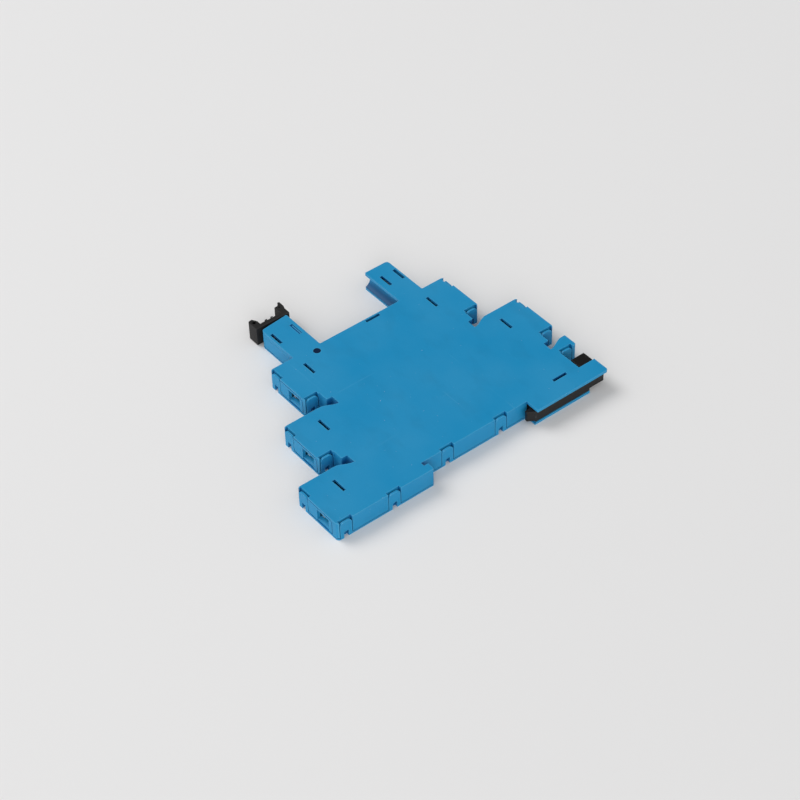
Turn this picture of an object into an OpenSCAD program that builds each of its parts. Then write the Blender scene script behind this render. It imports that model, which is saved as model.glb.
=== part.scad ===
// Slim DIN-rail relay socket, lying on its side.
// X runs along the wall across the rail, +Y is the front (relay side), Z is the 6.2 mm width.
// The origin is the centre of the rail seat, half-way through the width.

/* [Housing] */
// Width that the socket takes up on the rail
thickness = 6.2; // [5.8:0.1:8]
// Thickness of the two side plates
plate = 0.8; // [0.6:0.1:0.9]
// Thickness of the walls between the plates
wall = 1.0; // [0.8:0.1:1.2]
// Radius of the outer corners
corner_r = 1.0; // [0.4:0.1:1.4]
// Height of the shadow groove at the parting line
rim_h = 0.3; // [0.1:0.05:0.35]
// Depth of the shadow groove at the parting line
rim_in = 0.4; // [0.2:0.1:0.6]

/* [Relay bay and arms] */
// Height of the bay floor above the rail seat
floor_y = 54.8; // [52:0.2:60]
// Width of the relay bay
bay_w = 28.2; // [27:0.2:30]
// Distance from the rail's centre to the bay's centre
bay_shift = 2.9; // [1:0.1:5]
// Width of the arm that carries the lever
lever_arm_w = 9.3; // [8.8:0.1:11]
// Height of the lever arm's front above the bay floor, on the bay side
lever_arm_h = 15.8; // [14:0.2:18]
// How much lower the lever arm's front is on its outer side
arm_slope = 0.9; // [0.5:0.1:1.2]
// Width of the arm that carries the light guide
light_arm_w = 8.3; // [7.6:0.1:10]
// Height of the light arm above the bay floor
light_arm_h = 16.0; // [14:0.2:18]
// Radius of the finger trough in the light arm
trough_r = 2.32; // [2:0.05:2.4]
// Depth of the finger trough
trough_depth = 1.75; // [1:0.05:1.8]

/* [Terminal levels] */
// Distance between the fronts of two levels
level_pitch = 20.6; // [20:0.2:24]
// Height of one level
level_h = 16.0; // [15.6:0.1:16.6]
// How far the first level stands out beside the lever arm
shoulder_left = 7.9; // [7.6:0.1:10]
// How far each further level stands out on the left
step_left = 10.6; // [9.6:0.2:12]
// How far the first level stands out beside the light arm
shoulder_right = 7.8; // [7.6:0.1:10]
// How far the second level stands out on the right
step_right = 10.2; // [9.6:0.2:12]
// Depth of the slots between the levels
slot_in = 6.8; // [6:0.2:7.4]
// Drop of the curved front under a slot
slot_fall = 1.9; // [1:0.1:2.4]
// Depth of the narrow back of a slot
slot_step = 1.8; // [1.4:0.1:2]
// Height of the narrow back of a slot above the front below it
slot_step_y = 1.2; // [0.8:0.1:1.6]

/* [DIN rail] */
// Gap between the fixed hook and the foot
rail_gap = 35.32; // [35.1:0.02:35.8]
// Height of the hook's groove for the rail's edge
rail_lip = 1.3; // [1.1:0.05:1.6]
// Reach of the fixed hook behind the rail's edge
hook_reach = 1.34; // [1:0.02:1.6]
// Depth of the fixed hook below the rail seat
hook_drop = 3.8; // [3.4:0.1:4.4]
// Depth of the foot below the rail seat
foot_drop = 4.6; // [4.4:0.1:5.4]
// Height of the foot's front edge above the rail seat
foot_top = 1.1; // [1:0.1:1.4]
// Length of the foot that the release tab stands on
notch_w = 5.6; // [5.4:0.1:6.4]
// How much shorter the foot is than the widest level
foot_short = 0.2; // [0:0.1:0.6]
// Height of the last right level's rear wall above the rail seat
last_rear_y = 9.0; // [8:0.2:9.4]

/* [Snap joints] */
// Width of a snap tongue
tongue_w = 3.8; // [3.4:0.1:4.2]
// Thickness of a snap tongue
tongue_t = 0.6; // [0.5:0.05:0.7]
// Gap between a tongue and its recess
tongue_gap = 0.25; // [0.15:0.05:0.3]
// Gap behind a tongue
tongue_back_gap = 0.4; // [0.25:0.05:0.45]
// How far the tongue's round top stays below the side plate's face
tongue_low = 0.5; // [0.15:0.05:0.6]
// Radius of the tongue's top corners
tongue_r = 1.2; // [0.5:0.1:1.4]
// Housing wall left between a corner and the nearest recess
tongue_edge = 0.4; // [0.3:0.05:0.6]
// Width of the latch window in a tongue
latch_w = 1.5; // [1.2:0.1:1.8]
// Height of the latch window above the lower face
latch_h = 2.2; // [2:0.1:2.6]
// Thickness of the wall behind a recess
backing = 0.8; // [0.6:0.05:0.9]

/* [Terminals] */
// Radius of the driver hole in a level's front
driver_r = 1.7; // [1.5:0.05:1.8]
// Distance from a level's outer face to its screw
screw_in = 4.3; // [4.2:0.05:4.6]
// Radius of the screw's head
head_r = 1.9; // [1.75:0.05:2]
// Height of the screw's head
head_h = 1.6; // [1.2:0.1:1.8]
// Radius of the screw's shank
shank_r = 1.2; // [1:0.05:1.2]
// Running clearance of the screw in its cage
screw_fit = 0.08; // [0.05:0.01:0.1]
// Travel of the cage when its screw is turned home
cage_travel = 2.8; // [2:0.1:2.9]
// Distance from a level's front to the contact bar
bar_d = 9.1; // [9:0.05:9.3]
// Length of a cage along its bar
cage_len = 4.6; // [4:0.1:4.6]
// Wire space that is left when a cage is closed
wire_min = 0.4; // [0.2:0.1:0.5]
// Length of the wire window
window_len = 5.1; // [4.4:0.1:5.2]
// Height of the wire window
window_h = 3.6; // [3:0.1:3.8]
// Width and depth of the groove around the window's panel
frame_w = 0.25; // [0.15:0.05:0.3]
// Radius of the two round corners of the window's panel
frame_r = 1.3; // [0.5:0.1:1.6]

/* [Contacts] */
// Thickness of the contact strips
strip_t = 0.8; // [0.6:0.05:0.9]
// Width of the contact strips
strip_w = 2.4; // [2:0.1:2.6]
// Bend radius inside a strip's corner
strip_bend = 0.6; // [0.4:0.1:1]
// Thickness of a contact leaf
leaf_t = 0.4; // [0.3:0.05:0.45]
// Gap between two contact leaves
leaf_gap = 0.5; // [0.4:0.05:0.6]
// Length of the contact leaves
leaf_len = 5.2; // [4:0.2:5.2]
// Gap between the leaves' ends and the bay floor's top
leaf_low = 1.2; // [1.1:0.1:1.6]
// Distances of the three contact pins from the bay's left wall
contact_pins = [3.6, 8.64, 13.68]; // [1:0.1:16]
// Distances of the two coil pins from the bay's right wall
coil_pins = [5.8, 2.0]; // [1:0.1:8]

/* [Rail clip] */
// Travel of the clip when it is pulled open
clip_travel = 3.0; // [2.4:0.1:3]
// How far the nose reaches behind the rail's edge
nose_reach = 1.8; // [1.4:0.02:2.4]
// Height of the nose across the socket
nose_h = 3.4; // [2.4:0.1:4]
// Gap between the slider and its channel
clip_gap = 0.15; // [0.1:0.05:0.25]
// Length of the release tab
tab_len = 3.6; // [3:0.1:3.8]
// Diameter of the clip's spring
spring_d = 2.6; // [2:0.1:2.8]
// Wire diameter of the clip's spring
spring_wire = 0.4; // [0.3:0.05:0.5]
// Turns of the clip's spring
spring_turns = 7; // [5:1:9]

/* [Retaining lever] */
// Distance from the bay's left wall to the lever's pivot
pivot_in = 2.4; // [2.3:0.05:2.6]
// Distance from the bay floor down to the lever's pivot
pivot_low = 1.9; // [1.8:0.05:2.2]
// Radius of the lever's trunnions
trunnion_r = 1.05; // [0.8:0.05:1.1]
// Running clearance of the trunnions
trunnion_fit = 0.05; // [0.03:0.01:0.1]
// Thickness of the lever's stem
stem_t = 3.8; // [3:0.1:4]
// Width of the lever's stem
stem_w = 2.2; // [1.8:0.1:2.2]
// Height of the ears that hold a marker plate
ear_h = 4.35; // [3:0.05:5]
// Thickness of the bridge between the ears
bridge_t = 1.35; // [1:0.05:1.6]

/* [Indicator] */
// Width of the clear light guide
guide_w = 1.8; // [1.4:0.1:2]
// Distance from the light arm's outer face to the light guide's middle
guide_in = 3.4; // [3.2:0.1:3.8]
// Thickness of the circuit board
board_t = 1.0; // [0.8:0.1:1.05]
// Length of the circuit board along the bay floor
board_w = 9.3; // [8.6:0.1:9.6]
// Width of the circuit board
board_h = 6.6; // [6:0.1:7.4]

/* [Hidden] */

$fn = 32;
eps = 0.02;
half = thickness / 2;
inner = half - plate;

// Levels, counted from the front
bay_l = bay_shift - bay_w / 2;
bay_r = bay_shift + bay_w / 2;
lever_arm_x = bay_l - lever_arm_w;
light_arm_x = bay_r + light_arm_w;
left_x = [for (i = [0:2]) lever_arm_x - shoulder_left - i * step_left];
right_x = [for (i = [0:2]) light_arm_x + shoulder_right + min(i, 1) * step_right];
front_y = [for (i = [0:2]) floor_y - i * level_pitch];
rear_y = [for (i = [0:2]) front_y[i] - level_h];
seat_x = rail_gap / 2;
foot_x = right_x[1] - foot_short;
slot_lead = 1.4;
slot_run = slot_in - slot_lead;
notch_x = foot_x - notch_w;
bay_fillet = 0.3;
foot_r = 0.7;
hook_r = 0.4;

// Snap tongues: [middle x, face y, direction that the face looks in]
recess_w = tongue_w + 2 * tongue_gap;
recess_in = tongue_t + tongue_back_gap;
corner_in = recess_w / 2 + tongue_edge;
rear_tongues = [[left_x[2] + 2.8, -hook_drop], [-seat_x - 13.2, -hook_drop],
    [-seat_x + 7.7, 0], [seat_x - 9.1, 0], [notch_x + 2.5, last_rear_y]];
tongues = concat(
    [for (t = rear_tongues) [t[0], t[1], 0]],
    [for (i = [0:1]) [left_x[i] + corner_in, rear_y[i], 0]],
    [for (i = [0:1]) [right_x[i] - corner_in, rear_y[i], 0]],
    [for (i = [0:2]) [left_x[i], front_y[i] - corner_in, -90]],
    [for (i = [0:1]) [right_x[i], front_y[i] - corner_in, 90]]);

// Terminals: [outer face x, front y, +1 where the inside lies to the right]
terminals = concat([for (i = [0:2]) [left_x[i], front_y[i], 1]],
    [for (i = [0:1]) [right_x[i], front_y[i], -1]]);
head_d = wall + 0.2;
window_d = 8.5;
panel_d = corner_in + recess_w / 2;
panel_top = half - 0.4;
cage_gap = 0.2;
cage_half = inner - cage_gap;
cage_wall = 0.7;
cage_front = 1.6;
cage_x = screw_in - cage_len / 2;
cage_inside = cage_half - cage_wall;
ramp_in = 0.3;
wire_gap = cage_travel + wire_min;
tip_gap = 0.1;
bar_end = 1.3;

// Contacts: the x of each relay pin's contact
pins = concat([for (p = contact_pins) bay_l + p], [for (p = coil_pins) bay_r - p]);
strip_z = -strip_w / 2;
holder_in = 9.5;
holder_pin = 5.0;
leaf_top = floor_y - leaf_low;
leaf_root = leaf_top - leaf_len;
flare_h = 0.6;
flare = 0.15;
bar_y = [for (i = [0:2]) front_y[i] - bar_d - strip_t / 2];
strips = [
    [[pins[0], leaf_root], [pins[0], bar_y[0]], [left_x[0] + bar_end, bar_y[0]]],
    [[pins[1], leaf_root], [pins[1], bar_y[1]], [left_x[1] + bar_end, bar_y[1]]],
    [[pins[2], leaf_root], [pins[2], bar_y[2]], [left_x[2] + bar_end, bar_y[2]]],
    [[pins[3], leaf_root], [pins[3], bar_y[1]], [right_x[1] - bar_end, bar_y[1]]],
    [[pins[4], leaf_root], [pins[4], bar_y[0]], [right_x[0] - bar_end, bar_y[0]]]];

// Rail clip
slider_y = [-3.5, 0.6];
slider_x = seat_x + 0.25;
slider_end = foot_x - 0.5;
slider_z = inner - clip_gap;
nose_y = -rail_lip - 0.1;
nose_tip = 0.9;
rib_y = -0.5;
rib_h = 0.3;
rib_w = 0.8;
channel_wall = 0.8;
tab_x = notch_x + 0.4;
tab_y = foot_top + 0.2;
pocket_x = seat_x + 4.35;
spring_len = clip_travel + spring_turns * spring_wire + 2.7;
post_x = pocket_x + spring_len;
post_w = 1.2;
spring_y = -1.45;

// Retaining lever
pivot = [bay_l - pivot_in, floor_y - pivot_low];
stem_x = pivot[0] - stem_w / 2;
head_y = floor_y + lever_arm_h + 0.35;
nub_x = bay_l + 0.2;
nub_w = 1.6;
toe_gap = 0.15;
head_x = [lever_arm_x - 0.9, bay_l + 1.3];
head_z = -half + 0.3;
ear_w = [2.3, 2.1];
ear_top = head_y + ear_h;
pit_r = 0.55;
arm_split = half - 1.3;
arm_groove = 0.2;

// Light guide and circuit board: [lowest x, lowest y]
guide_x = light_arm_x - guide_in;
guide_y = floor_y - 2.3;
guide_z = -inner + board_t + 0.1;
board = [guide_x + 1.3 - board_w, floor_y - 1.6 - board_h];
board_top = -inner + board_t;
resistor = [2.0, 1.2, 0.5];
diode = [1.6, 2.4, 1.0];
led = [1.6, 0.7, 0.8];

// Slots through the upper plate: [x, y, 1 where it runs along X]
slot_w = 0.95;
slot_len = 4.8;
level_slot_d = 6.3;
slot_depth = plate + 1.5;
slot_side = 1.15;
slots = concat(
    [for (i = [0:2]) [left_x[i] + 9.0 - (i == 0 ? 0.1 : 0), front_y[i] - level_slot_d, 0]],
    [[light_arm_x - 1.35, front_y[0] - level_slot_d, 0]],
    [[right_x[1] - 9.25, front_y[1] - level_slot_d, 0]],
    [for (x = [lever_arm_x + slot_side, light_arm_x - 1.0, bay_r + 2.6]) [x, floor_y + 9.4, 0]],
    [[bay_shift + 3.85, floor_y - 0.95, 1], [seat_x + 13.3, foot_top + 0.55, 1]]);
blind_slot = [bay_l - 1.55, floor_y + 9.2, 0];
rib_slots = [for (i = [0:4]) slots[i]];

// ---- outline ----

function unit(v) = v / norm(v);
function left_of(v) = [-v[1], v[0]];
function turn_of(a, b) = atan2(a[0] * b[1] - a[1] * b[0], a * b);

// One corner q between p and s, moved inwards by g: an arc, or a point where it hardly turns
function corner(p, q, s, g) =
    let (a = unit([q[0] - p[0], q[1] - p[1]]), b = unit([s[0] - q[0], s[1] - q[1]]))
    let (t = turn_of(a, b), side = sign(t))
    let (m = [q[0], q[1]] + g * (left_of(a) + left_of(b)) / (1 + a * b))
    let (r = max(0, q[2] - side * g))
    abs(t) < 25 || r < 0.05 ? [m] :
    let (c = m - r * tan(abs(t) / 2) * a + side * r * left_of(a))
    let (n = r > 0.6 ? 6 : 3)
    [for (i = [0:n]) let (w = i / n * t - side * 90 + atan2(a[1], a[0])) c + r * [cos(w), sin(w)]];

function rounded(c, g) = [for (i = [0:len(c) - 1], v = corner(c[(i + len(c) - 1) % len(c)],
    c[i], c[(i + 1) % len(c)], g)) v];

// The front below a slot falls along half a cosine wave as the share w goes from 0 to 1
function slot_curve(w) = slot_fall * (1 - cos(180 * w)) / 2;

// The slot above level i on the right: a curved front that falls inwards, then a stepped back
function right_slot(i) =
    let (x = right_x[i - 1], e = x - slot_in, y = front_y[i])
    concat(i == 2 ? [[right_x[2], y, 0]] : [],
        [for (k = [0:6]) [x - slot_lead - slot_run * k / 6, y - slot_curve(k / 6), 0]],
        [[e, y + slot_step_y, 0.3], [e + slot_step, y + slot_step_y, 0.3],
        [e + slot_step, rear_y[i - 1], 0.3], [x, rear_y[i - 1], corner_r]]);

function mirrored_slot(i) =
    let (x = left_x[i - 1], e = x + slot_in, y = front_y[i])
    concat([[x, rear_y[i - 1], corner_r], [e - slot_step, rear_y[i - 1], 0.3],
        [e - slot_step, y + slot_step_y, 0.3], [e, y + slot_step_y, 0.3]],
        [for (k = [6:-1:0]) [x + slot_lead + slot_run * k / 6, y - slot_curve(k / 6), 0]]);

// The side of the housing that meets the rail, from the hook to the foot
rail_side = [[-seat_x, -hook_drop, hook_r], [-seat_x, -rail_lip, 0],
    [-seat_x - hook_reach, -rail_lip, 0], [-seat_x - hook_reach, 0, 0],
    [seat_x, 0, 0], [seat_x, -foot_drop, 0], [foot_x, -foot_drop, foot_r],
    [foot_x, foot_top, 0], [notch_x, foot_top, 0]];
// The hollow's side leaves the hook and the foot solid
hollow_side = [[-seat_x - hook_reach - wall, -hook_drop, 0], [-seat_x - hook_reach - wall, 0, 0],
    [notch_x, 0, 0]];

function outline_corners(hollow) = concat(
    [[left_x[2], -hook_drop, corner_r]],
    hollow ? hollow_side : rail_side,
    [[notch_x, last_rear_y, 0]],
    [[right_x[2], last_rear_y, bay_fillet]],
    right_slot(2),
    [[right_x[1], front_y[1], corner_r]],
    right_slot(1),
    [[right_x[0], front_y[0], corner_r], [light_arm_x, floor_y, bay_fillet]],
    [[light_arm_x, floor_y + light_arm_h, corner_r], [bay_r, floor_y + light_arm_h, bay_fillet]],
    [[bay_r, floor_y, bay_fillet], [bay_l, floor_y, bay_fillet]],
    [[bay_l, floor_y + lever_arm_h, bay_fillet]],
    [[lever_arm_x, floor_y + lever_arm_h - arm_slope, corner_r]],
    [[lever_arm_x, floor_y, bay_fillet], [left_x[0], front_y[0], corner_r]],
    mirrored_slot(1),
    [[left_x[1], front_y[1], corner_r]],
    mirrored_slot(2),
    [[left_x[2], front_y[2], corner_r]]);

module outline(g = 0) {
    polygon(rounded(outline_corners(false), g));
}

module hollow() {
    polygon(rounded(outline_corners(true), wall));
}

// ---- shared shapes ----

module box(x0, x1, y0, y1, z0, z1) {
    translate([x0, y0, z0])
        cube([x1 - x0, y1 - y0, z1 - z0]);
}

module at_tongue(t) {
    translate([t[0], t[1], 0])
        rotate([0, 0, t[2]])
            children();
}

module slot(s, w, l, z0, z1) {
    translate([s[0], s[1], z0])
        rotate([0, 0, s[2] * 90])
            translate([-w / 2, -l / 2, 0])
                cube([w, l, z1 - z0]);
}

// A strip on edge along a path, with round bends
function strip_side(path, d) = let (n = len(path) - 1) [for (i = [0:n])
    let (a = unit(path[min(i + 1, n)] - path[min(i, n - 1)]))
    let (b = unit(path[max(i, 1)] - path[max(i - 1, 0)]))
    let (m = path[i] + d * (left_of(a) + left_of(b)) / (1 + a * b))
    let (bend = i == 0 || i == n ? 0 : strip_bend + strip_t / 2 - sign(turn_of(b, a)) * d)
    [m[0], m[1], bend]];

module strip(path) {
    left_side = strip_side(path, strip_t / 2);
    right_side = strip_side(path, -strip_t / 2);
    back = [for (i = [len(left_side) - 1:-1:0]) left_side[i]];
    translate([0, 0, strip_z])
        linear_extrude(strip_w)
            polygon(rounded(concat(right_side, back), 0));
}

// ---- shells ----

module tongue_recess(t) {
    at_tongue(t)
        box(-recess_w / 2, recess_w / 2, -1, recess_in, -half - 1, half + 1);
}

module tongue_backing(t) {
    at_tongue(t)
        box(-recess_w / 2 - backing, recess_w / 2 + backing, eps, recess_in + backing,
            -inner, inner + eps);
}

// The barb that a tongue's window snaps over
module barb(t) {
    top = -half + latch_h - 0.1;
    at_tongue(t)
        translate([-latch_w / 2 + 0.15, 0, 0])
            rotate([90, 0, 90])
                linear_extrude(latch_w - 0.3)
                    polygon([[recess_in + eps, top], [tongue_t / 2, top], [recess_in + eps, top - 1]]);
}

module tongue(t) {
    top = half - tongue_low;
    at_tongue(t)
        translate([0, tongue_t, 0])
            rotate([90, 0, 0])
                linear_extrude(tongue_t)
                    difference() {
                        union() {
                            translate([-tongue_w / 2, -half])
                                square([tongue_w, top - tongue_r + half]);
                            translate([-tongue_w / 2 + tongue_r, -half])
                                square([tongue_w - 2 * tongue_r, top + half]);
                            for (s = [-1, 1])
                                translate([s * (tongue_w / 2 - tongue_r), top - tongue_r])
                                    circle(tongue_r);
                        }
                        translate([-latch_w / 2, -half - 1])
                            square([latch_w, latch_h + 1]);
                    }
}

module latch_notch(t) {
    at_tongue(t)
        box(-latch_w / 2, latch_w / 2, -1, recess_in, -half - 1, -inner + 1);
}

module window(t) {
    x = t[2] > 0 ? t[0] - 1 : t[0] - wall - 1;
    box(x, x + wall + 2, t[1] - window_d - window_len, t[1] - window_d, -half, window_h / 2);
}

module driver_hole(t) {
    translate([t[0] + t[2] * screw_in, t[1] + 1, 0])
        rotate([90, 0, 0])
            cylinder(h = wall + 2, r = driver_r);
}

module at_level(t) {
    translate([t[0], t[1], 0])
        mirror([t[2] > 0 ? 0 : 1, 0, 0])
            children();
}

// Groove around the panel that the wire window sits in, drawn as distance from the front and height
module panel_groove(t) {
    panel = [[panel_d - frame_w, -inner, frame_r], [level_h - 0.9, -inner, 0],
        [level_h - 0.9, panel_top, frame_r], [panel_d - frame_w, panel_top, 0]];
    at_level(t)
        rotate([90, 0, -90])
            translate([0, 0, -frame_w])
                linear_extrude(frame_w + 1)
                    difference() {
                        polygon(rounded(panel, 0));
                        polygon(rounded(panel, frame_w));
                    }
}

// Ramp of the lower shell that leads a wire over the cage's side
module wire_ramp(t) {
    top = -cage_inside;
    at_level(t)
        translate([0, -window_d - 0.1, 0])
            rotate([90, 0, 0])
                linear_extrude(window_len - 0.2)
                    polygon([[ramp_in, -inner - eps], [ramp_in, -window_h / 2], [cage_x - 0.9, top],
                        [cage_x - 0.3, top], [cage_x - 0.3, -inner - eps]]);
}

module upper_walls() {
    difference() {
        union() {
            translate([0, 0, -inner])
                linear_extrude(2 * inner + eps)
                    difference() {
                        outline();
                        hollow();
                    }
            // The light arm's bay side is thick enough for the trough
            box(bay_r, bay_r + trough_depth + backing, floor_y - wall, floor_y + light_arm_h - wall + eps,
                -inner, inner + eps);
            intersection() {
                translate([0, 0, -inner])
                    linear_extrude(2 * inner + eps)
                        outline();
                for (t = tongues)
                    tongue_backing(t);
            }
        }
        // The clip's channel is open at the rear and at both ends
        box(seat_x - eps, foot_x + 1, -foot_drop - 1, slider_y[1] + clip_gap, -half, inner);
        box(notch_x, foot_x + 1, -foot_drop - 1, foot_top + 1, -half, inner);
        // The lever passes the arm's open front and the bay's corner
        box(lever_arm_x + wall, bay_l - wall, floor_y + 8, head_y + 1, -half, inner);
        box(nub_x - toe_gap, nub_x + nub_w + 0.6, floor_y - wall - 1, floor_y + 1, -inner, inner);
        box(bay_l - wall - eps, nub_x + nub_w, floor_y - wall - 1, floor_y + 0.6, -inner, inner);
        // The lower shell carries most of the lever arm's outer wall
        box(lever_arm_x - 1, lever_arm_x + wall + eps, floor_y + corner_r, head_y + 1, -half, arm_split);
    }
    box(seat_x - wall, notch_x, slider_y[1] + clip_gap, slider_y[1] + clip_gap + channel_wall,
        -inner, inner + eps);
}

module upper_shell() {
    color("#2f8fbf")
        difference() {
            union() {
                translate([0, 0, inner])
                    linear_extrude(plate)
                        outline();
                upper_walls();
            }
            for (t = tongues)
                difference() {
                    tongue_recess(t);
                    barb(t);
                }
            for (s = slots)
                slot(s, slot_w, slot_len, half - slot_depth, half + 1);
            // The slot beside the lever's stem is closed by an island of the same plate
            difference() {
                slot(blind_slot, slot_w, slot_len, half - plate / 2, half + 1);
                translate([slot_w / 8, -slot_w / 4, 0])
                    slot(blind_slot, slot_w / 3, slot_len - slot_w / 2, 0, half - 0.1);
            }
            for (t = terminals) {
                panel_groove(t);
                window(t);
                driver_hole(t);
            }
            for (x = pins)
                box(x - 0.5, x + 0.5, floor_y - wall - 1, floor_y + 1, -0.9, 0.9);
            translate([pivot[0], pivot[1], inner - 1])
                cylinder(h = plate + 2, r = trunnion_r + trunnion_fit);
            translate([bay_r + trough_depth - trough_r, floor_y, 0])
                rotate([-90, 0, 0])
                    cylinder(h = light_arm_h + 1, r = trough_r);
            light_window();
            box(seat_x + 0.6, foot_x + 1, rib_y - rib_w / 2 - clip_gap, rib_y + rib_w / 2 + clip_gap,
                inner - eps, inner + rib_h + 0.1);
        }
}

module light_window() {
    box(guide_x - guide_w / 2 - 0.1, guide_x + guide_w / 2 + 0.1, floor_y + light_arm_h - wall - 1,
        floor_y + light_arm_h + 1, guide_z - 0.1, guide_z + guide_w + 0.1);
}

// A U-shaped holder that a strip on edge stands in
module holder(x, y, a) {
    translate([x, y, 0])
        rotate([0, 0, a])
            difference() {
                box(-1.5, 1.5, -strip_t / 2 - 0.6, strip_t / 2 + 0.6, -inner - eps, strip_z + 1);
                box(-2, 2, -strip_t / 2, strip_t / 2, strip_z, strip_z + 2);
            }
}

module strip_holders() {
    for (x = [left_x[0] + holder_in, pins[0] - holder_pin, right_x[0] - holder_in])
        holder(x, bar_y[0], 0);
    for (x = [left_x[1] + holder_in, pins[1] - holder_pin, pins[3] + holder_pin, right_x[1] - holder_in])
        holder(x, bar_y[1], 0);
    for (x = [left_x[2] + holder_in, (left_x[2] + pins[2]) / 2, pins[2] - holder_pin])
        holder(x, bar_y[2], 0);
    // On the stretches that run towards the bay, midway between two bars
    for (i = [0:1])
        for (share = [0.3, 0.7])
            holder(pins[2], bar_y[2 - i] + share * level_pitch, 90);
    for (p = [pins[1], pins[3]])
        holder(p, bar_y[1] + 0.5 * level_pitch, 90);
}

module lower_shell() {
    color("#2f8fbf")
        difference() {
            union() {
                translate([0, 0, -half])
                    linear_extrude(plate - rim_h)
                        outline();
                translate([0, 0, -half])
                    linear_extrude(plate)
                        outline(rim_in);
                for (t = tongues)
                    tongue(t);
                for (t = terminals)
                    wire_ramp(t);
                strip_holders();
                for (s = rib_slots)
                    slot(s, slot_w - 0.4, slot_len - 1, -inner - eps, inner - 0.3);
                arm_wall();
                box(post_x, post_x + post_w, spring_y - 1.2, spring_y + 1.2, -inner - eps, inner - 0.3);
                box(guide_x - 1.2, guide_x + 1.2, floor_y + 3, floor_y + 5, -inner - eps, guide_z);
                box(guide_x - 1.2, guide_x + 1.2, floor_y + 11, floor_y + 13, -inner - eps, guide_z);
            }
            for (t = tongues)
                latch_notch(t);
            // The clip shows below the rear edge and beside the notch
            box(seat_x - 1, foot_x + 1, -foot_drop - 1, -foot_drop + 1, -half - 1, -inner + eps);
            box(notch_x, foot_x + 1, -foot_drop - 1, foot_top + 1, -half - 1, -inner + eps);
            translate([pivot[0], pivot[1], -half - 1])
                cylinder(h = plate + 2, r = trunnion_r + trunnion_fit);
            box(seat_x + 0.6, notch_x + 1, rib_y - rib_w / 2 - clip_gap, rib_y + rib_w / 2 + clip_gap,
                -inner - rib_h - 0.1, -inner + eps);
        }
}

// The lever arm's outer wall, which the lower shell carries nearly up to the upper plate
module arm_wall() {
    intersection() {
        translate([0, 0, -inner - eps])
            linear_extrude(inner + arm_split - arm_groove + eps)
                difference() {
                    outline();
                    hollow();
                }
        box(lever_arm_x - 1, lever_arm_x + wall, floor_y + corner_r + 0.1, head_y, -half, half);
    }
}

// ---- rail clip ----

module rail_clip() {
    tip = seat_x - nose_reach;
    color("#3b3737")
        difference() {
            union() {
                box(slider_x, slider_end, slider_y[0], slider_y[1], -slider_z, slider_z);
                // The nose slopes so that the rail's edge pushes it back
                translate([0, 0, -nose_h / 2])
                    linear_extrude(nose_h)
                        polygon([[slider_x + 1, slider_y[0]], [slider_x, slider_y[0]],
                            [tip, nose_y - nose_tip], [tip, nose_y], [slider_x + 1, nose_y]]);
                for (s = [-1, 1])
                    box(slider_x + 1.5, notch_x - clip_travel - 0.6, rib_y - rib_w / 2, rib_y + rib_w / 2,
                        s > 0 ? slider_z - eps : -inner - rib_h, s > 0 ? inner + rib_h : -slider_z + eps);
                box(tab_x, slider_end, slider_y[1] - eps, tab_y + tab_len, -slider_z, slider_z);
                box(tab_x, slider_end, tab_y, tab_y + tab_len, -slider_z, half - 0.1);
            }
            box(pocket_x, post_x + post_w + 0.3, spring_y - spring_d / 2 - 0.15,
                spring_y + spring_d / 2 + 0.15, -half - 1, half + 1);
            box(notch_x, foot_x + 1, slider_y[0] - 1, slider_y[0] + 0.8, -half, -slider_z + 0.75);
        }
}

// Coil spring along X: rings of a helix, joined into one tube
module clip_spring() {
    sides = 6;
    steps = 12;
    n = spring_turns * steps;
    r = (spring_d - spring_wire) / 2;
    w = spring_wire / 2;
    length = post_x - pocket_x - spring_wire - 0.02;
    points = [for (i = [0:n], k = [0:sides - 1])
        let (a = 360 * i / steps, b = 360 * k / sides, rr = r + w * cos(b))
        [pocket_x + w + 0.01 + length * i / n + w * sin(b), spring_y + rr * cos(a), rr * sin(a)]];
    sheets = [for (i = [0:n - 1], k = [0:sides - 1])
        let (p = i * sides + k, q = i * sides + (k + 1) % sides)
        [p, q, q + sides, p + sides]];
    color("#b9bcc0")
        polyhedron(points, concat([[for (k = [sides - 1:-1:0]) k]], sheets,
            [[for (k = [0:sides - 1]) n * sides + k]]));
}

// ---- retaining lever ----

module retaining_lever() {
    color("#3b3737") {
        translate([0, 0, -stem_t / 2])
            linear_extrude(stem_t)
                union() {
                    translate([stem_x, pivot[1]])
                        square([stem_w, head_y - pivot[1] + 0.5]);
                    translate(pivot)
                        circle(1.6);
                    polygon([pivot + [0, -1.6], [nub_x, floor_y - wall - 1.7],
                        [nub_x + nub_w, floor_y - wall - 1.5], [nub_x + nub_w, floor_y - 0.05],
                        [nub_x, floor_y - 0.05], [nub_x, floor_y - wall - 0.3], pivot + [0, 1]]);
                }
        translate([pivot[0], pivot[1], -half + 0.05])
            cylinder(h = thickness - 0.1, r = trunnion_r);
        difference() {
            translate([0, 0, head_z])
                linear_extrude(half - head_z)
                    lever_head();
            ear_pits();
        }
    }
}

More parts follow.
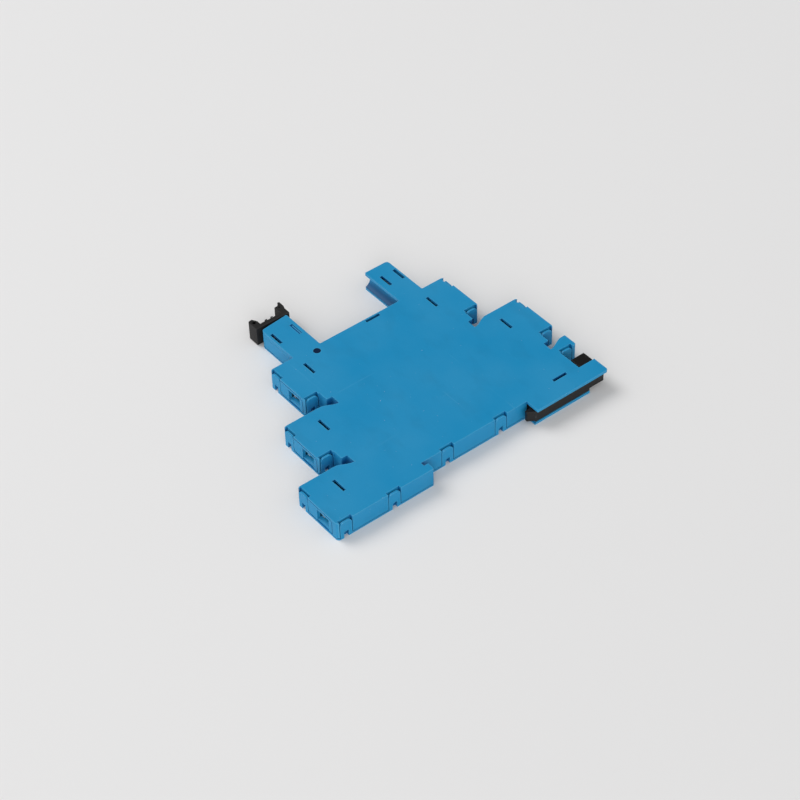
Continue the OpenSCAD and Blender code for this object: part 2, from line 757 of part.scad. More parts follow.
// The head seen from the side: a bridge between two ears
module lever_head() {
    x0 = head_x[0];
    x1 = head_x[1];
    translate([x0, head_y])
        square([x1 - x0, bridge_t]);
    // Outer ear, cut back towards the marker plate
    polygon(rounded([[x0, head_y, 0], [x0 + ear_w[0], head_y, 0], [x0 + ear_w[0], ear_top - 1.6, 0.3],
        [x0 + 0.6 * ear_w[0], ear_top, 0.4], [x0, ear_top - 0.3, 0.5]], 0));
    // Bay-side ear with a pointed finger grip that leans outwards
    translate([x1 - ear_w[1], head_y])
        square([ear_w[1], ear_h]);
    polygon([[x1 - eps, ear_top - 2.2], [x1 + 0.4, ear_top - 1.0], [x1 + 0.4, ear_top + 1.1],
        [x1 - 0.2, ear_top + 1.2], [x1 - 0.5, ear_top + 0.6], [x1 - 1.1, ear_top - eps]]);
    // Ribs that a marker plate rests on
    for (x = [x0 + 4.5, x0 + 6.5])
        translate([x - 0.35, head_y + bridge_t - eps])
            square([0.7, 0.5]);
}

// Coring pits in the ears, and the hole that holds the marker plate's peg
module ear_pits() {
    translate([head_x[0] + ear_w[0] / 2, ear_top - 1.6, half - 1.2])
        cylinder(h = 2, r = pit_r);
    translate([head_x[1] - 0.9, ear_top - 0.7, half - 0.9])
        cylinder(h = 2, r = pit_r / 2);
    translate([head_x[1] - ear_w[1] - 1, ear_top - 1.9, half - 1.8])
        rotate([0, 90, 0])
            cylinder(h = ear_w[1], r = pit_r);
}

// ---- contacts ----

// One leaf of a fork at x, on the side s, with a flared end that leads the relay's pin in
function leaf(x, s) =
    let (a = x + s * leaf_gap / 2, b = a + s * leaf_t)
    [[x, leaf_root - leaf_t], [b, leaf_root], [b, leaf_top - flare_h], [b + s * flare, leaf_top],
    [a + s * flare, leaf_top], [a, leaf_top - flare_h], [a, leaf_root + leaf_t], [x, leaf_root]];

module contact(i) {
    color("#c8a04a") {
        strip(strips[i]);
        translate([0, 0, strip_z])
            linear_extrude(strip_w)
                for (s = [-1, 1])
                    polygon(leaf(pins[i], s));
    }
}

module common_contact() {
    contact(0);
}

module open_contact() {
    contact(1);
}

module closed_contact() {
    contact(2);
}

module coil_contact_a() {
    contact(3);
}

module coil_contact_b() {
    contact(4);
}

// ---- terminals ----

module at_screw(t) {
    translate([t[0] + t[2] * screw_in, t[1], 0])
        rotate([90, 0, 0])
            children();
}

// Rising cage: its front wall is threaded, the wire lies between the bar and the rear wall
module cage(t) {
    bar_back = bar_d + strip_t;
    front = bar_d - 0.9 - cage_front;
    rear = bar_back + wire_gap;
    color("#c9ccd0")
        at_screw(t)
            difference() {
                box(-cage_len / 2, cage_len / 2, -cage_half, cage_half, front, rear + cage_wall);
                box(-cage_len, cage_len, -cage_inside, cage_inside, front + cage_front, rear);
                translate([0, 0, front - 1])
                    cylinder(h = cage_front + 2, r = shank_r + screw_fit);
            }
}

module screw(t) {
    color("#d5d7da")
        at_screw(t)
            difference() {
                union() {
                    translate([0, 0, head_d])
                        cylinder(h = head_h, r = head_r);
                    translate([0, 0, head_d + head_h - eps])
                        cylinder(h = bar_d - tip_gap - head_d - head_h + eps, r = shank_r);
                }
                translate([-head_r - 1, -0.25, head_d - 1])
                    cube([2 * head_r + 2, 0.5, 1.7]);
            }
}

module cage_left_1() {
    cage(terminals[0]);
}

module cage_left_2() {
    cage(terminals[1]);
}

module cage_left_3() {
    cage(terminals[2]);
}

module cage_right_1() {
    cage(terminals[3]);
}

module cage_right_2() {
    cage(terminals[4]);
}

module screw_left_1() {
    screw(terminals[0]);
}

module screw_left_2() {
    screw(terminals[1]);
}

module screw_left_3() {
    screw(terminals[2]);
}

module screw_right_1() {
    screw(terminals[3]);
}

module screw_right_2() {
    screw(terminals[4]);
}

// ---- indicator ----

// A part of the given size, soldered to the board with its middle at the shares u and v of it
module on_board(u, v, size) {
    translate([board[0] + u * board_w - size[0] / 2, board[1] + v * board_h - size[1] / 2, board_top])
        cube(size);
}

module indicator_board() {
    color("#3f7a4a")
        translate([board[0], board[1], -inner])
            cube([board_w, board_h, board_t]);
}

module series_resistor() {
    color("#303030")
        on_board(0.5, 0.25, resistor);
}

module free_wheel_diode() {
    color("#242424")
        on_board(0.52, 0.7, diode);
}

module status_led() {
    color("#e8e4d0")
        translate([guide_x - led[0] / 2, guide_y - 0.1 - led[1], board_top])
            cube(led);
}

module light_guide() {
    color("#dfeef2")
        box(guide_x - guide_w / 2, guide_x + guide_w / 2, guide_y, floor_y + light_arm_h + 0.1,
            guide_z, guide_z + guide_w);
}

upper_shell();
lower_shell();
rail_clip();
clip_spring();
retaining_lever();
common_contact();
open_contact();
closed_contact();
coil_contact_a();
coil_contact_b();
cage_left_1();
cage_left_2();
cage_left_3();
cage_right_1();
cage_right_2();
screw_left_1();
screw_left_2();
screw_left_3();
screw_right_1();
screw_right_2();
indicator_board();
series_resistor();
free_wheel_diode();
status_led();
light_guide();
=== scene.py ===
import math

import bmesh
import bpy
import numpy as np
from mathutils import Matrix, Vector


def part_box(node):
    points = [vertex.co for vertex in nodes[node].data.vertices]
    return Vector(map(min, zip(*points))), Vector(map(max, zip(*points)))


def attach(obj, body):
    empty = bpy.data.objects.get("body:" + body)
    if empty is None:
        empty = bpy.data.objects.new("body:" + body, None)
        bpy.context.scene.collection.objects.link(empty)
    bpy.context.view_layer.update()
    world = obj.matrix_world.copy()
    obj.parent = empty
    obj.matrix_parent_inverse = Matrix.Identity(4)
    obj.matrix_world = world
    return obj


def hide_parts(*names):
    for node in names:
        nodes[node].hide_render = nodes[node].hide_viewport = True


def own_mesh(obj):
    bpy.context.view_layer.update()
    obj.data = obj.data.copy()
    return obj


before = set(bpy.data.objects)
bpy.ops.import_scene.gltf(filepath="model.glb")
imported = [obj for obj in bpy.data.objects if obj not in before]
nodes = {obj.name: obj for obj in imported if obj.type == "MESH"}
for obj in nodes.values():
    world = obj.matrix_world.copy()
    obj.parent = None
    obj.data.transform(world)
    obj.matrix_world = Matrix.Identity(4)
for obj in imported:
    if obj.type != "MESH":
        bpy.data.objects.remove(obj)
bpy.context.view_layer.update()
mm = 0.001
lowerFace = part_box("lower_shell")[0].z
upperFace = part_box("upper_shell")[1].z
print("frame loaded:", len(nodes), "nodes")


def newGroup(name, inputs, outputs):
    # inputs are (name, socket type, default value), outputs are (name, socket type)
    group = bpy.data.node_groups.new(name, "ShaderNodeTree")
    for label, kind, value in inputs:
        group.interface.new_socket(label, in_out="INPUT", socket_type=kind).default_value = value
    for label, kind in outputs:
        group.interface.new_socket(label, in_out="OUTPUT", socket_type=kind)
    return group, group.nodes.new("NodeGroupInput").outputs, group.nodes.new("NodeGroupOutput").inputs


def addNode(tree, kind, **values):
    node = tree.nodes.new(kind)
    for key, value in values.items():
        setattr(node, key, value)
    return node


def feed(tree, socket, value):
    # value is another node's output or a plain number or colour
    if isinstance(value, bpy.types.NodeSocket):
        tree.links.new(value, socket)
    else:
        socket.default_value = value


def mixColours(tree, share, first, second):
    node = addNode(tree, "ShaderNodeMix", data_type="RGBA", blend_type="MIX")
    for index, value in ((0, share), (6, first), (7, second)):
        feed(tree, node.inputs[index], value)
    return node.outputs[2]


def mathNode(tree, operation, first, second, clamp=False):
    node = addNode(tree, "ShaderNodeMath", operation=operation, use_clamp=clamp)
    feed(tree, node.inputs[0], first)
    feed(tree, node.inputs[1], second)
    return node.outputs[0]


def noiseOf(tree, vector, look):
    # scale counts the noise's cells in one metre; stretch and turn draw it out along one direction
    if "stretch" in look:
        mapping = addNode(tree, "ShaderNodeMapping")
        mapping.inputs["Scale"].default_value = look["stretch"]
        mapping.inputs["Rotation"].default_value = (0, 0, look["turn"])
        tree.links.new(vector, mapping.inputs["Vector"])
        vector = mapping.outputs["Vector"]
    noise = addNode(tree, "ShaderNodeTexNoise")
    noise.inputs["Scale"].default_value = look["scale"]
    noise.inputs["Detail"].default_value = look["detail"]
    tree.links.new(vector, noise.inputs["Vector"])
    return noise.outputs["Fac"]


def rampOf(tree, value, span):
    # 0 at the first value of span, 1 at the second
    ramp = addNode(tree, "ShaderNodeMapRange")
    ramp.inputs["From Min"].default_value, ramp.inputs["From Max"].default_value = span
    tree.links.new(value, ramp.inputs["Value"])
    return ramp.outputs["Result"]


def nearby(tree, reach, inside=False):
    # share of open space around a point, or of solid behind it, out to reach metres
    node = addNode(tree, "ShaderNodeAmbientOcclusion", samples=8, only_local=True, inside=inside)
    feed(tree, node.inputs["Distance"], reach)
    return node.outputs["AO"]


# Each effect has its noise, the span of values in which it comes in, and the share that it moves the colour
mouldedLook = {
    "cloud": {"scale": 55, "detail": 4, "span": (0.35, 0.7), "share": 0.12, "rough": 0.25},
    "smear": {"scale": 210, "detail": 5, "stretch": (1, 0.55, 1), "turn": 0.6, "span": (0.52, 0.72), "share": 0.06},
    "grain": {"scale": 5200, "detail": 2, "span": (0.3, 0.8), "share": 0.08},
    # rim: convex edges lighter, partly edge wear and partly a painted highlight
    "rim": {"reach": 0.4 * mm, "span": (0.80, 0.50), "share": 0.45},
    "scratchAlong": {"scale": 900, "detail": 2, "stretch": (1, 0.02, 1), "turn": 0.9, "span": (0.68, 0.74)},
    "scratchAcross": {"scale": 700, "detail": 2, "stretch": (0.03, 1, 1), "turn": -0.35, "span": (0.69, 0.75)},
    "patch": {"scale": 90, "detail": 2, "span": (0.5, 0.68)},
    "scuff": {"rough": 0.2, "depth": 0.01},
    "dust": {"scale": 1500, "detail": 1, "span": (0.79, 0.83), "share": 0.25, "colour": (0.8, 0.82, 0.84, 1)},
    # painted shade: these two masks darken hollows, slots and gaps where little open space is around a point
    "wideCreviceShade": {"span": (0.92, 0.33), "share": 0.88},
    "fineCreviceShade": {"reach": 0.8 * mm, "span": (0.84, 0.48), "share": 0.75},
    "flow": {"scale": 120, "detail": 3, "stretch": (1, 0.18, 1), "turn": 0.5, "height": 0.006},
}
black = (0, 0, 0, 1)
skinOutputs = [("Colour", "NodeSocketColor"), ("Roughness", "NodeSocketFloat"), ("Height", "NodeSocketFloat")]


def mouldedSkin():
    # a moulding's skin: cloudy colour, smears and eroded grain, rims lighter from wear and a painted highlight,
    # scuffs and dust, and painted shade in crevices, and last the shade attribute of the faces that lie in shadow
    look = mouldedLook
    group, given, result = newGroup("mouldedSkin", [
        ("Colour", "NodeSocketColor", (0.5, 0.5, 0.5, 1)),
        # the worn colour also paints a highlight along rims; the crevice colour is painted shade in hollows and gaps
        ("Worn And Highlight Colour", "NodeSocketColor", (0.7, 0.7, 0.7, 1)),
        ("Crevice Shade Colour", "NodeSocketColor", (0.1, 0.1, 0.1, 1)),
        ("Crevice Reach", "NodeSocketFloat", 1.2 * mm),
        ("Shaded Colour", "NodeSocketColor", (0.02, 0.02, 0.02, 1)),
        ("Roughness", "NodeSocketFloat", 0.4),
        ("Scuffs", "NodeSocketFloat", 0.3),
        ("Grain Depth", "NodeSocketFloat", 0.02)], skinOutputs)
    where = addNode(group, "ShaderNodeTexCoord").outputs["Object"]
    noises = {name: noiseOf(group, where, values) for name, values in look.items() if "scale" in values}

    def maskOf(name, value=None):
        mask = rampOf(group, noises[name] if value is None else value, look[name]["span"])
        return mathNode(group, "MULTIPLY", mask, look[name]["share"]) if "share" in look[name] else mask

    lines = mathNode(group, "MAXIMUM", maskOf("scratchAlong"), maskOf("scratchAcross"))
    scuff = mathNode(group, "MULTIPLY", lines, maskOf("patch"))
    scuff = mathNode(group, "MULTIPLY", scuff, given["Scuffs"], True)
    # painted shade: the colour goes towards the crevice colour in hollows, slots and gaps
    creviceShade = mathNode(group, "MAXIMUM", maskOf("wideCreviceShade", nearby(group, given["Crevice Reach"])),
                    maskOf("fineCreviceShade", nearby(group, look["fineCreviceShade"]["reach"])))
    # lighter rims: edge wear and a painted highlight along the convex edges
    rim = maskOf("rim", nearby(group, look["rim"]["reach"], True))
    shade = addNode(group, "ShaderNodeAttribute", attribute_name="shade").outputs["Fac"]
    tone = given["Colour"]
    for share, colour in ((maskOf("cloud"), given["Worn And Highlight Colour"]), (maskOf("smear"), black), (maskOf("grain"), black),
                          (rim, given["Worn And Highlight Colour"]), (scuff, given["Worn And Highlight Colour"]),
                          (maskOf("dust"), look["dust"]["colour"]), (creviceShade, given["Crevice Shade Colour"]),
                          (shade, given["Shaded Colour"])):
        tone = mixColours(group, share, tone, colour)
    group.links.new(tone, result["Colour"])

    swing = mathNode(group, "MULTIPLY", mathNode(group, "SUBTRACT", noises["cloud"], 0.5), look["cloud"]["rough"])
    rough = mathNode(group, "ADD", given["Roughness"], swing)
    rough = mathNode(group, "ADD", rough, mathNode(group, "MULTIPLY", scuff, look["scuff"]["rough"]), True)
    group.links.new(rough, result["Roughness"])

    height = mathNode(group, "MULTIPLY", noises["grain"], given["Grain Depth"])
    height = mathNode(group, "ADD", height, mathNode(group, "MULTIPLY", noises["flow"], look["flow"]["height"]))
    height = mathNode(group, "SUBTRACT", height, mathNode(group, "MULTIPLY", scuff, look["scuff"]["depth"]))
    group.links.new(height, result["Height"])
    return group


metalLook = {
    "drawn": {"scale": 2600, "detail": 3, "stretch": (1, 0.05, 1), "turn": 0.0, "share": 0.12, "height": 0.01,
              "colour": (0.1, 0.1, 0.1, 1)},
    "cloud": {"scale": 420, "detail": 4, "span": (0.5, 0.75), "share": 0.45, "rough": 0.22},
}


def metalSkin():
    # stamped and plated metal: cloudy plating with small tarnish, under fine drawn lines
    look = metalLook
    group, given, result = newGroup("metalSkin", [
        ("Colour", "NodeSocketColor", (0.7, 0.7, 0.7, 1)),
        ("Tarnish", "NodeSocketColor", (0.3, 0.25, 0.2, 1)),
        ("Roughness", "NodeSocketFloat", 0.3)], skinOutputs)
    where = addNode(group, "ShaderNodeTexCoord").outputs["Object"]
    drawn = noiseOf(group, where, look["drawn"])
    cloud = noiseOf(group, where, look["cloud"])
    dull = mathNode(group, "MULTIPLY", rampOf(group, cloud, look["cloud"]["span"]), look["cloud"]["share"])
    tone = mixColours(group, dull, given["Colour"], given["Tarnish"])
    lines = mathNode(group, "MULTIPLY", drawn, look["drawn"]["share"])
    group.links.new(mixColours(group, lines, tone, look["drawn"]["colour"]), result["Colour"])
    swing = mathNode(group, "MULTIPLY", cloud, look["cloud"]["rough"])
    group.links.new(mathNode(group, "ADD", given["Roughness"], swing, True), result["Roughness"])
    group.links.new(mathNode(group, "MULTIPLY", drawn, look["drawn"]["height"]), result["Height"])
    return group


skins = {"moulded": mouldedSkin(), "metal": metalSkin()}

# skin: inputs of the group, colours as red, green, blue; shader: plain values of the Principled BSDF
# the crevice colour is painted shade in hollows and gaps; the worn colour is also a painted highlight on rims
finishLooks = {
    "bluePolyamide": {
        "kind": "moulded",
        "skin": {"Colour": (0.006, 0.248, 0.500), "Worn And Highlight Colour": (0.10, 0.40, 0.62),
                 "Crevice Shade Colour": (0.0, 0.068, 0.265), "Crevice Reach": 3.2 * mm,
                 "Shaded Colour": (0.0, 0.078, 0.20), "Roughness": 0.5, "Scuffs": 0.25, "Grain Depth": 0.016},
        "shader": {"IOR": 1.5, "Specular IOR Level": 0.27}},
    "blackPolyamide": {
        "kind": "moulded",
        "skin": {"Colour": (0.0035, 0.003, 0.003), "Worn And Highlight Colour": (0.02, 0.018, 0.017),
                 "Crevice Shade Colour": (0.001, 0.001, 0.001), "Crevice Reach": 1.5 * mm,
                 "Roughness": 0.42, "Scuffs": 0.4, "Grain Depth": 0.02},
        "shader": {"IOR": 1.5, "Specular IOR Level": 0.36}},
    # a lighter copy of the black polyamide: painted light for the light falling on the lever's outer face
    "leverPolyamide": {
        "kind": "moulded",
        "skin": {"Colour": (0.017, 0.0167, 0.017), "Worn And Highlight Colour": (0.06, 0.06, 0.06),
                 "Crevice Shade Colour": (0.003, 0.003, 0.003), "Crevice Reach": 1.5 * mm,
                 "Shaded Colour": (0.0, 0.012, 0.045), "Roughness": 0.55, "Scuffs": 0.5, "Grain Depth": 0.025},
        "shader": {"IOR": 1.5, "Specular IOR Level": 0.14}},
    "springSteel": {
        "kind": "metal",
        "skin": {"Colour": (0.52, 0.53, 0.55), "Roughness": 0.22},
        "shader": {"Metallic": 1.0}},
    "contactBrass": {
        "kind": "metal",
        "skin": {"Colour": (0.80, 0.62, 0.30), "Tarnish": (0.35, 0.22, 0.10), "Roughness": 0.24},
        "shader": {"Metallic": 1.0}},
    "tinnedBar": {
        "kind": "metal",
        "skin": {"Colour": (0.78, 0.77, 0.74), "Tarnish": (0.42, 0.40, 0.36), "Roughness": 0.28},
        "shader": {"Metallic": 1.0}},
    "zincPlate": {
        "kind": "metal",
        "skin": {"Colour": (0.86, 0.87, 0.87), "Tarnish": (0.58, 0.56, 0.50), "Roughness": 0.34},
        "shader": {"Metallic": 1.0}},
    "solderResist": {
        "kind": "moulded",
        "skin": {"Colour": (0.02, 0.13, 0.05), "Worn And Highlight Colour": (0.2, 0.3, 0.2), "Roughness": 0.25, "Scuffs": 0.1,
                 "Grain Depth": 0.005},
        "shader": {"Coat Weight": 0.4}},
    "chipBlack": {
        "kind": "moulded",
        "skin": {"Colour": (0.018, 0.018, 0.019), "Worn And Highlight Colour": (0.1, 0.1, 0.1), "Roughness": 0.4, "Scuffs": 0.1,
                 "Grain Depth": 0.01},
        "shader": {}},
    "milkyResin": {
        "kind": "moulded",
        "skin": {"Colour": (0.72, 0.70, 0.56), "Worn And Highlight Colour": (0.8, 0.8, 0.75), "Roughness": 0.2, "Scuffs": 0.05,
                 "Grain Depth": 0.002},
        "shader": {"Subsurface Weight": 0.3, "Subsurface Scale": 0.6 * mm}},
    "clearPolycarbonate": {
        "kind": "moulded",
        "skin": {"Colour": (0.86, 0.93, 0.95), "Worn And Highlight Colour": (0.95, 0.97, 0.98), "Roughness": 0.12, "Scuffs": 0.2,
                 "Grain Depth": 0.001},
        "shader": {"Transmission Weight": 0.45, "IOR": 1.58}},
}


def makeMaterial(name, look):
    material = bpy.data.materials.new(name)
    material.use_nodes = True
    tree = material.node_tree
    principled = tree.nodes["Principled BSDF"]
    skin = addNode(tree, "ShaderNodeGroup", node_tree=skins[look["kind"]])
    for key, value in look["skin"].items():
        skin.inputs[key].default_value = (*value, 1) if isinstance(value, tuple) else value
    for key, value in look["shader"].items():
        principled.inputs[key].default_value = value
    bump = addNode(tree, "ShaderNodeBump")
    bump.inputs["Distance"].default_value = mm
    bump.inputs["Strength"].default_value = 1.0
    for source, target in ((skin.outputs["Colour"], principled.inputs["Base Color"]),
                           (skin.outputs["Roughness"], principled.inputs["Roughness"]),
                           (skin.outputs["Height"], bump.inputs["Height"]),
                           (bump.outputs["Normal"], principled.inputs["Normal"])):
        tree.links.new(source, target)
    return material


finishes = {name: makeMaterial(name, look) for name, look in finishLooks.items()}
print("materials made:", len(finishes))

# Turns between two faces in degrees, lengths in mm
edgeLook = {"mergeGap": 0.002, "flatTurn": 0.5, "smoothTurn": 30, "sharpTurn": 35, "rimGap": 0.02, "rimLength": 20,
            "segments": 3}


def addPiece(name, mesh):
    piece = bpy.data.objects.new(name, mesh)
    bpy.context.scene.collection.objects.link(piece)
    return piece


def mergedCopy(node, name):
    # a clean copy of a CAD node: doubles merged and flat regions joined into single faces
    mesh = nodes[node].data.copy()
    mesh.name = name
    if "custom_normal" in mesh.attributes:
        mesh.attributes.remove(mesh.attributes["custom_normal"])
    work = bmesh.new()
    work.from_mesh(mesh)
    bmesh.ops.remove_doubles(work, verts=work.verts, dist=edgeLook["mergeGap"] * mm)
    bmesh.ops.dissolve_limit(work, angle_limit=math.radians(edgeLook["flatTurn"]), verts=work.verts,
                             edges=work.edges, delimit=set())
    work.to_mesh(mesh)
    work.free()
    mesh.shade_smooth()
    return addPiece(name, mesh)


def rimOf(work, height):
    # the outline's edges: those at height whose closed line is longer than that of a slot
    flat = {edge for edge in work.edges if edge.calc_face_angle(0) > math.radians(edgeLook["sharpTurn"])
            and all(abs(vert.co.z - height) < edgeLook["rimGap"] * mm for vert in edge.verts)}
    rim = set()
    while flat:
        chain, fresh = set(), [flat.pop()]
        while fresh:
            edge = fresh.pop()
            chain.add(edge)
            joined = {other for vert in edge.verts for other in vert.link_edges} & flat
            flat -= joined
            fresh.extend(joined)
        if sum(edge.calc_length() for edge in chain) > edgeLook["rimLength"] * mm:
            rim |= chain
    return rim


def roundEdges(piece, width, fine=1.0, rimHeight=None):
    # full width on the rim at rimHeight, the share fine on other sharp edges that stand out; hollow edges stay crisp
    work = bmesh.new()
    work.from_mesh(piece.data)
    layer = work.edges.layers.float.new("bevel_weight_edge")
    rim = set() if rimHeight is None else rimOf(work, rimHeight)
    for edge in work.edges:
        turn = edge.calc_face_angle(math.pi)
        if edge.is_convex and turn > math.radians(edgeLook["sharpTurn"]):
            edge[layer] = 1.0 if edge in rim else fine
        else:
            edge.smooth = turn < math.radians(edgeLook["smoothTurn"])
    work.to_mesh(piece.data)
    work.free()
    bevel = piece.modifiers.new("roundedEdges", "BEVEL")
    bevel.limit_method = "WEIGHT"
    bevel.width = width * mm
    bevel.segments = edgeLook["segments"]
    bevel.use_clamp_overlap = True
    bevel.miter_outer = "MITER_ARC"
    bevel.harden_normals = True


def shadeFaces(piece, look):
    # The shade attribute on the corners of the faces centred between low and high:
    # shade = (z - start) / (full - start), held between 0 and 1, and 0 on all other faces.
    mesh = piece.data
    centres = np.empty(3 * len(mesh.polygons))
    mesh.polygons.foreach_get("center", centres)
    sizes = np.empty(len(mesh.polygons), int)
    mesh.polygons.foreach_get("loop_total", sizes)
    corners = np.empty(len(mesh.loops), int)
    mesh.loops.foreach_get("vertex_index", corners)
    points = np.empty(3 * len(mesh.vertices))
    mesh.vertices.foreach_get("co", points)
    centres = centres.reshape(-1, 3) / mm
    inside = ((centres > np.array(look["low"])) & (centres < np.array(look["high"]))).all(axis=1)
    shade = np.clip((points[2::3][corners] / mm - look["start"]) / (look["full"] - look["start"]), 0, 1)
    attribute = mesh.attributes.new("shade", "FLOAT", "CORNER")
    attribute.data.foreach_set("value", np.repeat(inside, sizes) * shade)


def finishPiece(piece, body, finish, node):
    piece.data.materials.clear()
    piece.data.materials.append(finishes[finish])
    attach(piece, body)
    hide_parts(node)


# Lengths and heights in mm; the trough along the light arm is in shade in its lower half
shellLook = {"topRound": 0.25, "fineRound": 0.06,
             "trough": {"low": (17.02, 54.9, -2.24), "high": (19.0, 70.7, 2.24), "start": 0.2, "full": -1.5}}

for node, name, face in (("upper_shell", "mouldedUpperShell", upperFace),
                         ("lower_shell", "mouldedLowerShell", lowerFace)):
    shell = mergedCopy(node, name)
    shadeFaces(shell, shellLook["trough"])
    roundEdges(shell, shellLook["topRound"], shellLook["fineRound"] / shellLook["topRound"], face)
    finishPiece(shell, "housing", "bluePolyamide", node)
print("shells rounded")

clipLook = {"round": 0.22}
clip = mergedCopy("rail_clip", "mouldedRailClip")
roundEdges(clip, clipLook["round"])
finishPiece(clip, "clip_slider", "blackPolyamide", "rail_clip")

# The upper end of the lever's trunnion lies deep in its hole; its faces there get painted shade
leverLook = {"round": 0.22,
             "trunnionEnd": {"low": (-15.0, 51.0, 2.9), "high": (-12.0, 54.5, 3.2), "start": 2.5, "full": 2.8}}
lever = mergedCopy("retaining_lever", "mouldedLever")
shadeFaces(lever, leverLook["trunnionEnd"])
roundEdges(lever, leverLook["round"])
finishPiece(lever, "lever", "leverPolyamide", "retaining_lever")
print("clip and lever rounded")

# Wire in mm, closed turns at each end of all the turns, closed turns' pitch as a share of the wire
coil = {"wire": 0.4, "turns": 7.0, "closed": 0.9, "closedPitch": 1.04, "stepsPerTurn": 26, "sides": 10}


def woundSpring():
    # Centre line at turn t: x runs with the pitch, closed at both ends and even between them;
    # (y, z) = middle + radius * (cos(2 pi t), sin(2 pi t)), radius = half the coil less half the wire.
    # Skin: a circle of the wire's radius, square to the line's own direction.
    low, high = (np.array(corner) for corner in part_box("clip_spring"))
    middle = (low + high) / 2
    wire = coil["wire"] * mm
    radius = (high[1] - low[1] - wire) / 2
    steps, sides = int(coil["turns"] * coil["stepsPerTurn"]), coil["sides"]
    turn = np.linspace(0, coil["turns"], steps + 1)
    length = high[0] - low[0] - wire
    ends = coil["closed"] * coil["closedPitch"] * wire
    along = np.interp(turn, [0, coil["closed"], coil["turns"] - coil["closed"], coil["turns"]],
                      [0, ends, length - ends, length])
    angle = 2 * np.pi * turn
    outward = np.stack([np.zeros_like(angle), np.cos(angle), np.sin(angle)], axis=1)
    centre = middle + radius * outward
    centre[:, 0] = low[0] + wire / 2 + along
    tangent = np.gradient(centre, axis=0)
    across = np.cross(tangent, outward)
    across /= np.linalg.norm(across, axis=1, keepdims=True)
    around = np.linspace(0, 2 * np.pi, sides, endpoint=False)[None, :, None]
    skin = centre[:, None] + wire / 2 * (np.cos(around) * outward[:, None] + np.sin(around) * across[:, None])
    skin = np.clip(skin.reshape(-1, 3), low, high)

    ring, side = np.meshgrid(np.arange(steps) * sides, np.arange(sides), indexing="ij")
    nextSide = (side + 1) % sides
    faces = np.stack([ring + side, ring + nextSide, ring + sides + nextSide, ring + sides + side], axis=-1)
    caps = [list(range(sides))[::-1], list(range(steps * sides, (steps + 1) * sides))]
    mesh = bpy.data.meshes.new("woundClipSpring")
    mesh.from_pydata(skin.tolist(), [], faces.reshape(-1, 4).tolist() + caps)
    work = bmesh.new()
    work.from_mesh(mesh)
    bmesh.ops.recalc_face_normals(work, faces=work.faces)
    work.to_mesh(mesh)
    work.free()
    mesh.shade_smooth()
    spring = addPiece("woundClipSpring", mesh)
    finishPiece(spring, "housing", "springSteel", "clip_spring")
    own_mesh(spring)


woundSpring()
print("spring wound")

plainFinishes = {
    "common_contact": "tinnedBar", "open_contact": "tinnedBar", "closed_contact": "tinnedBar",
    "coil_contact_a": "contactBrass", "coil_contact_b": "contactBrass",
    "indicator_board": "solderResist", "series_resistor": "chipBlack", "free_wheel_diode": "chipBlack",
    "status_led": "milkyResin", "light_guide": "clearPolycarbonate",
}
for node, obj in nodes.items():
    finish = "zincPlate" if node.startswith(("cage_", "screw_")) else plainFinishes.get(node)
    if finish:
        obj.data.materials.clear()
        obj.data.materials.append(finishes[finish])
print("small pieces finished")

# Sizes and places in metres, power in watts; the world is darker towards darkSide
studio = {
    "floor": {"colour": (0.80, 0.797, 0.797), "patchShade": 0.97, "size": 6.0,
              "patch": {"scale": 3.0, "detail": 2}, "roughness": 0.6, "specular": 0.2},
    "world": {"light": 0.86, "darkLight": 0.12, "darkSide": (0.437, 0.580, 0.687), "span": (0.25, 0.95)},
    "aim": (0, 0.03, 0),
    "keyLamp": {"power": 38, "size": 1.8, "place": (-0.7, 1.65, 2.05)},
    "fillLamp": {"power": 18, "size": 1.6, "place": (-1.45, -1.9, 0.9)},
}


def makeFloor(look):
    half = look["size"] / 2
    mesh = bpy.data.meshes.new("studioFloor")
    mesh.from_pydata([(x * half, y * half, lowerFace) for x, y in ((-1, -1), (1, -1), (1, 1), (-1, 1))],
                     [], [(0, 1, 2, 3)])
    material = bpy.data.materials.new("paleFloor")
    material.use_nodes = True
    tree = material.node_tree
    principled = tree.nodes["Principled BSDF"]
    where = addNode(tree, "ShaderNodeTexCoord").outputs["Object"]
    patchColour = [channel * look["patchShade"] for channel in look["colour"]]
    tone = mixColours(tree, noiseOf(tree, where, look["patch"]), (*look["colour"], 1), (*patchColour, 1))
    tree.links.new(tone, principled.inputs["Base Color"])
    principled.inputs["Roughness"].default_value = look["roughness"]
    principled.inputs["Specular IOR Level"].default_value = look["specular"]
    mesh.materials.append(material)
    addPiece("studioFloor", mesh)


def makeLamp(name):
    look = studio[name]
    light = bpy.data.lights.new(name, "AREA")
    light.shape = "DISK"
    light.size = look["size"]
    light.energy = look["power"]
    lamp = addPiece(name, light)
    lamp.location = look["place"]
    lamp.rotation_euler = (Vector(studio["aim"]) - Vector(look["place"])).to_track_quat("-Z", "Y").to_euler()


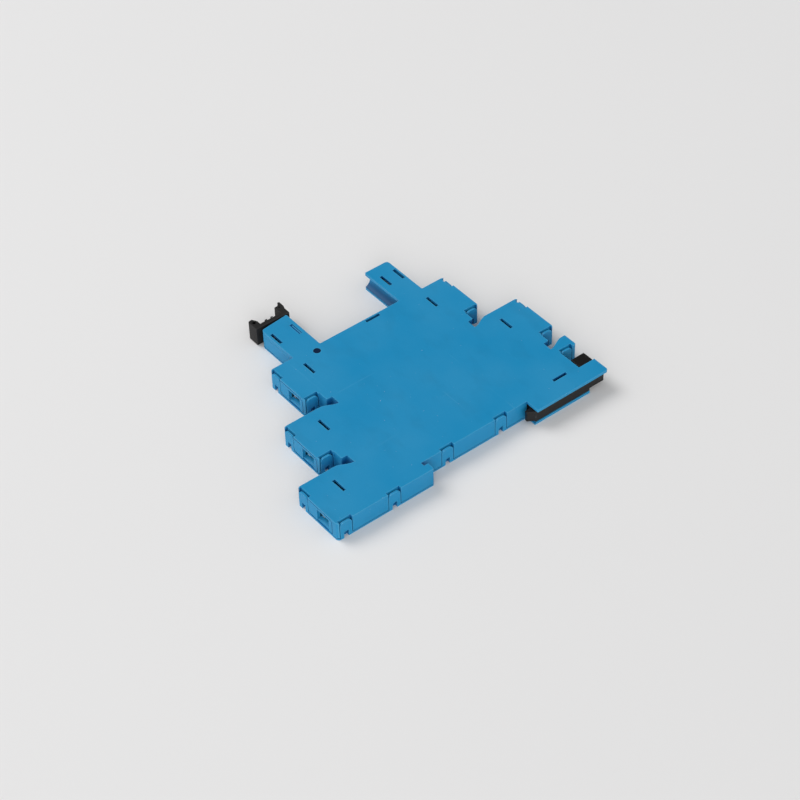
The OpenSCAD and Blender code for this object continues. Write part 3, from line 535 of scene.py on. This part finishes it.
def makeWorld(look):
    world = bpy.data.worlds.new("studioWorld")
    world.use_nodes = True
    tree = world.node_tree
    background = tree.nodes["Background"]
    background.inputs["Color"].default_value = (1, 1, 1, 1)
    toward = addNode(tree, "ShaderNodeVectorMath", operation="DOT_PRODUCT")
    toward.inputs[1].default_value = look["darkSide"]
    tree.links.new(addNode(tree, "ShaderNodeTexCoord").outputs["Generated"], toward.inputs[0])
    falling = addNode(tree, "ShaderNodeMapRange", interpolation_type="SMOOTHSTEP")
    for key, value in (("From Min", look["span"][0]), ("From Max", look["span"][1]),
                       ("To Min", look["light"]), ("To Max", look["darkLight"])):
        falling.inputs[key].default_value = value
    tree.links.new(toward.outputs["Value"], falling.inputs["Value"])
    tree.links.new(falling.outputs["Result"], background.inputs["Strength"])
    bpy.context.scene.world = world


# Angles in degrees, place and lens in mm, clip distances in metres
cameraLook = {"azimuth": -36.99, "elevation": 43.40, "roll": -2.0, "place": (-274.3, -330.7, 421.2),
              "lens": 101.02, "sensor": 36, "clip": (0.01, 20)}


def makeCamera(look):
    # the lens stands back along the line given by azimuth and elevation, then rolls a little
    azimuth, elevation, roll = (math.radians(look[key]) for key in ("azimuth", "elevation", "roll"))
    back = Vector((math.sin(azimuth) * math.cos(elevation), -math.cos(azimuth) * math.cos(elevation),
                   math.sin(elevation)))
    right = (-back).cross(Vector((0, 0, 1))).normalized()
    up = right.cross(-back)
    side = right * math.cos(roll) + up * math.sin(roll)
    rise = up * math.cos(roll) - right * math.sin(roll)
    lens = bpy.data.cameras.new("camera")
    lens.lens = look["lens"]
    lens.sensor_width = look["sensor"]
    lens.clip_start, lens.clip_end = look["clip"]
    camera = addPiece("camera", lens)
    turned = Matrix((side, rise, back)).transposed().to_4x4()
    camera.matrix_world = Matrix.Translation(Vector(look["place"]) * mm) @ turned
    bpy.context.scene.camera = camera


makeWorld(studio["world"])
makeFloor(studio["floor"])
makeLamp("keyLamp")
makeLamp("fillLamp")
makeCamera(cameraLook)
bpy.context.scene.view_settings.view_transform = "Standard"
print("studio ready")
